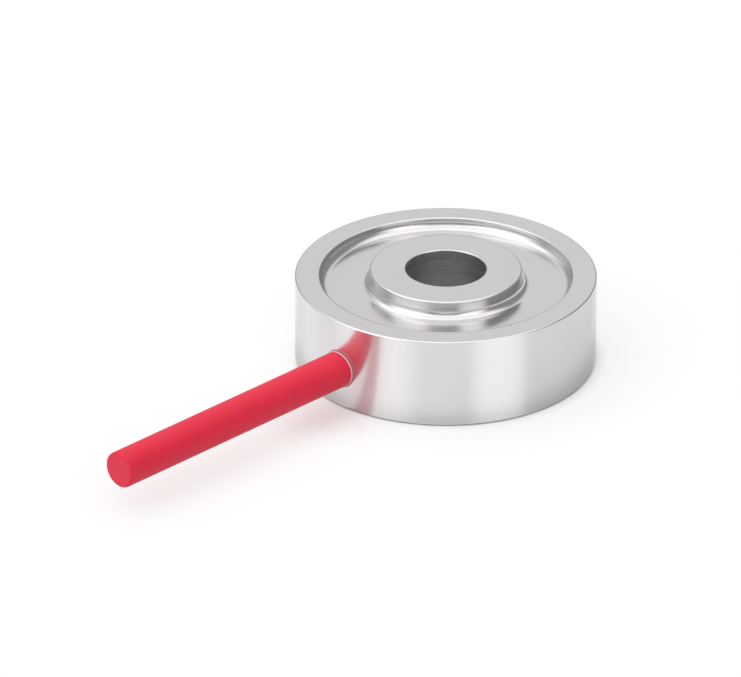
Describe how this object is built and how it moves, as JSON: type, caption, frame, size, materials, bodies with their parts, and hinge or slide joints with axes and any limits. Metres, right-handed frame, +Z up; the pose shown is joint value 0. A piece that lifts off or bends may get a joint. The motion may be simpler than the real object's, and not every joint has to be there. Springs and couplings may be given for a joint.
{
  "type": "ring load cell",
  "caption": "Ring load cell: turned stainless ring with a raised load hub inside a shallow recess, a through bore and a straight red cable leaving its side.",
  "frame": {"origin": "on the load axis, in the plane of the bottom face of the outer ring", "axes": "+Z up along the load axis, out of the load hub; the cable leaves along -Y"},
  "size_m": [0.0254, 0.0508, 0.0083],
  "materials": {
    "stainless": "fine turned, satin bright",
    "cable_jacket": "matte silicone",
    "seal_rubber": "off-white silicone",
    "potting_epoxy": "poured epoxy",
    "circuit_film": "polyimide film",
    "gauge_foil": "etched foil on film",
    "lead_ribbon": "bare copper",
    "solder": "bright solder",
    "resistor_chip": "coated ceramic",
    "insulation_red": "extruded",
    "insulation_black": "extruded",
    "insulation_green": "extruded",
    "insulation_white": "extruded"
  },
  "bodies": {
    "root": {"black_conductor": "insulation_black", "bottom_cover": "stainless", "cable": "cable_jacket", "cable_potting": "potting_epoxy", "crimp_ferrule": "stainless", "flex_circuit": "circuit_film", "gauge_leads_inner_1": "lead_ribbon", "gauge_leads_inner_2": "lead_ribbon", "gauge_leads_inner_3": "lead_ribbon", "gauge_leads_inner_4": "lead_ribbon", "gauge_leads_outer_1": "lead_ribbon", "gauge_leads_outer_2": "lead_ribbon", "gauge_leads_outer_3": "lead_ribbon", "gauge_leads_outer_4": "lead_ribbon", "green_conductor": "insulation_green", "port_grommet": "seal_rubber", "red_conductor": "insulation_red", "sensing_body": "stainless", "solder_joints": "solder", "strain_gauge_inner_1": "gauge_foil", "strain_gauge_inner_2": "gauge_foil", "strain_gauge_inner_3": "gauge_foil", "strain_gauge_inner_4": "gauge_foil", "strain_gauge_outer_1": "gauge_foil", "strain_gauge_outer_2": "gauge_foil", "strain_gauge_outer_3": "gauge_foil", "strain_gauge_outer_4": "gauge_foil", "trim_resistor_1": "resistor_chip", "trim_resistor_2": "resistor_chip", "trim_resistor_3": "resistor_chip", "trim_resistor_4": "resistor_chip", "white_conductor": "insulation_white"}
  },
  "joints": []
}
